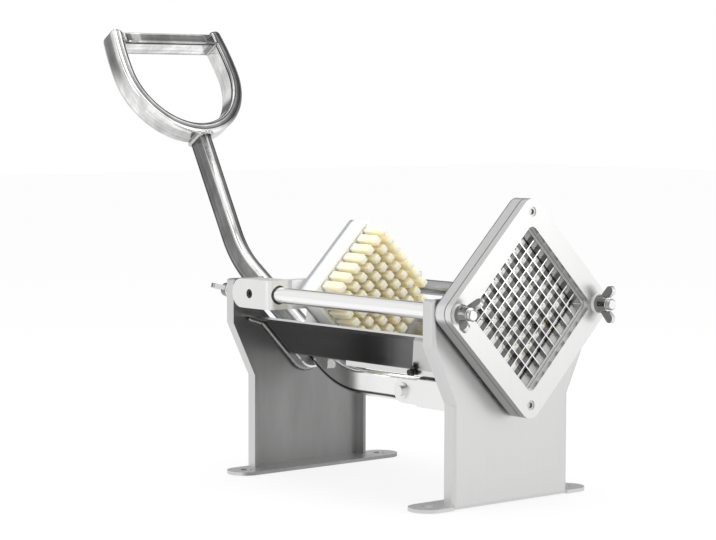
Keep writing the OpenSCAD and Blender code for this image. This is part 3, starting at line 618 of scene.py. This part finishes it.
handle_beads = Skin()
collar = [in_handle(y, COLLAR_UP, out) for y, out in rounded_section(5.5, 10.2, 3.0, 3)]
bead(handle_beads, collar, 1.9, loop=True)
for side in (-1, 1):
    bead(handle_beads, [in_handle(side * 46.2, up, 9.3) for up in (83.2, 86, 91.6)], 1.4)
    bead(handle_beads, [in_handle(side * 46.6, 82.3, out) for out in (-8.5, 0, 8.5)], 1.1)
handle_beads.done("handle_weld_beads", "weld_metal", "lever", ["handle_weld"])

trough_beads = Skin()
arc = [(TROUGH_ARC * math.sin(math.radians(a)), ARC_Z - TROUGH_ARC * math.cos(math.radians(a)))
       for a in range(-46, 47, 4)]
outline = [(-58.5, 118.0), (-44.0, 113.6)] + arc + [(44.0, 113.6), (58.5, 118.0)]
bead(trough_beads, [Vector((REAR_X, y, z)) for y, z in outline], 2.0)
for side in (-1, 1):
    bead(trough_beads, [Vector((FRONT_X, side * y, z)) for y, z in ((44.0, 113.6), (22.0, 91.0))], 1.6)
# the trough's beads sit in the crevice against the stands: their near-black tone is painted shade
weld_shade = steel("shaded_weld", .30, .14, (1, 1, 1), 300, 1.5e-4, .45)
trough_beads.done("trough_weld_beads", "weld_metal", "frame", ["trough_welds"], weld_shade)

# %% [markdown]
# ## Floor
# The picture is a bright product shot. The floor is pale cloth that shows white to the camera and to the
# metal, and part of it stays ordinary cloth, so that the cutter keeps a soft shadow.

# %% Floor
SHOWN_WHITE, MIRRORED_WHITE = 0.8, 0.85


def floor_cloth():
    s = Shader("floor_cloth")
    kinds = [s.node("ShaderNodeLightPath", {}, {}, out=k)
             for k in ("Is Camera Ray", "Is Glossy Ray", "Is Transmission Ray")]
    seen = (kinds[0] * SHOWN_WHITE + kinds[1] * MIRRORED_WHITE + kinds[2] * MIRRORED_WHITE).clamp()
    cloth = s.node("ShaderNodeBsdfDiffuse", {}, {"Color": (.9, .9, .9, 1)})
    glow = s.node("ShaderNodeEmission", {}, {"Color": (1, 1, 1, 1), "Strength": 1.0})
    s.node("ShaderNodeOutputMaterial", {}, {0: s.node("ShaderNodeMixShader", {}, {0: seen, 1: cloth, 2: glow})})
    return s.material


bpy.ops.mesh.primitive_plane_add(size=12, location=(0, 0, -0.0005))
floor = bpy.context.object
floor.name = "floor"
floor.data.materials.append(floor_cloth())
print("floor", floor.dimensions[0], "m wide")

# %% [markdown]
# ## Studio world
# The world behind is white as well. Dark cards stand around the cutter, seen only in reflections: without
# them polished steel would have no outline against white. A card is round, and given by the direction in which
# it stands, its half angle and the width of its soft edge, all in degrees, and by how dark it is.

# %% Studio world
BEHIND = (139.6, -2)  # direction of the space behind the cutter, where a dark ring stands
CARDS = ((8, 12, 7, 6, .85), (-78, 30, 12, 10, .8), (180, 62, 12, 10, .7), (255, 5, 9, 8, .6), (75, 25, 8, 8, .6))
world = bpy.data.worlds.new("studio")
bpy.context.scene.world = world
world.use_nodes = True
w = Shader("studio", world.node_tree)
view = w.coords(out="Generated")


def card(azimuth, elevation, half, soft):
    """1 inside a round card seen in this direction, 0 outside it."""
    a, e = math.radians(azimuth), math.radians(elevation)
    d = (math.cos(e) * math.cos(a), math.cos(e) * math.sin(a), math.sin(e))
    dot = w.node("ShaderNodeVectorMath", {"operation": "DOT_PRODUCT"}, {0: view, 1: d}, out="Value")
    return w.remap(dot, math.cos(math.radians(half + soft)), math.cos(math.radians(half)))


room = 0.9 * (1 - 0.80 * card(*BEHIND, 34, 12) * (1 - card(*BEHIND, 15, 4)))
for azimuth, elevation, half, soft, depth in CARDS:
    room = room * (1 - depth * card(azimuth, elevation, half, soft))
glossy = w.node("ShaderNodeLightPath", {}, {}, out="Is Glossy Ray")
white = 1 - glossy
w.node("ShaderNodeOutputWorld", {}, {0: w.node("ShaderNodeBackground", {}, {
    "Color": (1, 1, 1, 1), "Strength": white + glossy * room})})
print("cards", len(CARDS), "and a ring behind the cutter")

# %% [markdown]
# ## Lamps
# Three large soft boxes light the steel from the blades' side, from the near side and from above. They are
# large so that their mirror images end softly on the tube. Power is given as brightness, so a box can change
# its size without changing how bright its image is.

# %% Lamps
def softbox(name, where, target, size, radiance):
    light = bpy.data.lights.new(name, "AREA")
    light.shape, light.size, light.size_y = "RECTANGLE", size[0], size[1]
    light.energy = radiance * math.pi * size[0] * size[1]
    ob = bpy.data.objects.new(name, light)
    bpy.context.scene.collection.objects.link(ob)
    ob.location = where
    ob.rotation_euler = (Vector(target) - Vector(where)).to_track_quat("-Z", "Y").to_euler()
    print(name, round(light.energy, 2), "W")


softbox("front_box", (0.95, 0.42, 0.42), (0.1, 0, 0.1), (0.7, 0.8), 1.0)
softbox("left_box", (-0.15, -1.0, 0.5), (0, 0, 0.1), (0.6, 0.7), 1.5)
softbox("top_box", (0.0, 0.1, 1.1), (0, 0, 0.1), (1.0, 0.8), 1.4)

# %% [markdown]
# ## Camera
# The camera was fitted to the photograph from points measured on it: a long lens from a little above the
# blades, on the near side.

# %% Camera
def camera(where, yaw, pitch, roll, lens):
    cam = bpy.data.cameras.new("camera")
    cam.lens, cam.sensor_width, cam.clip_start = lens, 36.0, 0.01
    ob = bpy.data.objects.new("camera", cam)
    y, p = math.radians(yaw), math.radians(pitch)
    d = Vector((math.cos(p) * math.cos(y), math.cos(p) * math.sin(y), math.sin(p)))
    r = d.cross(Vector((0, 0, 1))).normalized()
    u = r.cross(d)
    a = math.radians(roll)
    r, u = r * math.cos(a) + u * math.sin(a), u * math.cos(a) - r * math.sin(a)
    ob.matrix_world = Matrix.Translation(where) @ Matrix((r, u, -d)).transposed().to_4x4()
    bpy.context.scene.collection.objects.link(ob)
    bpy.context.scene.camera = ob
    print("camera at", where, "lens", lens)


camera((1.2928, -1.1445, 0.2885), 139.6, -4.28, 0.166, 116.24)
bpy.context.scene.view_settings.view_transform = "Standard"
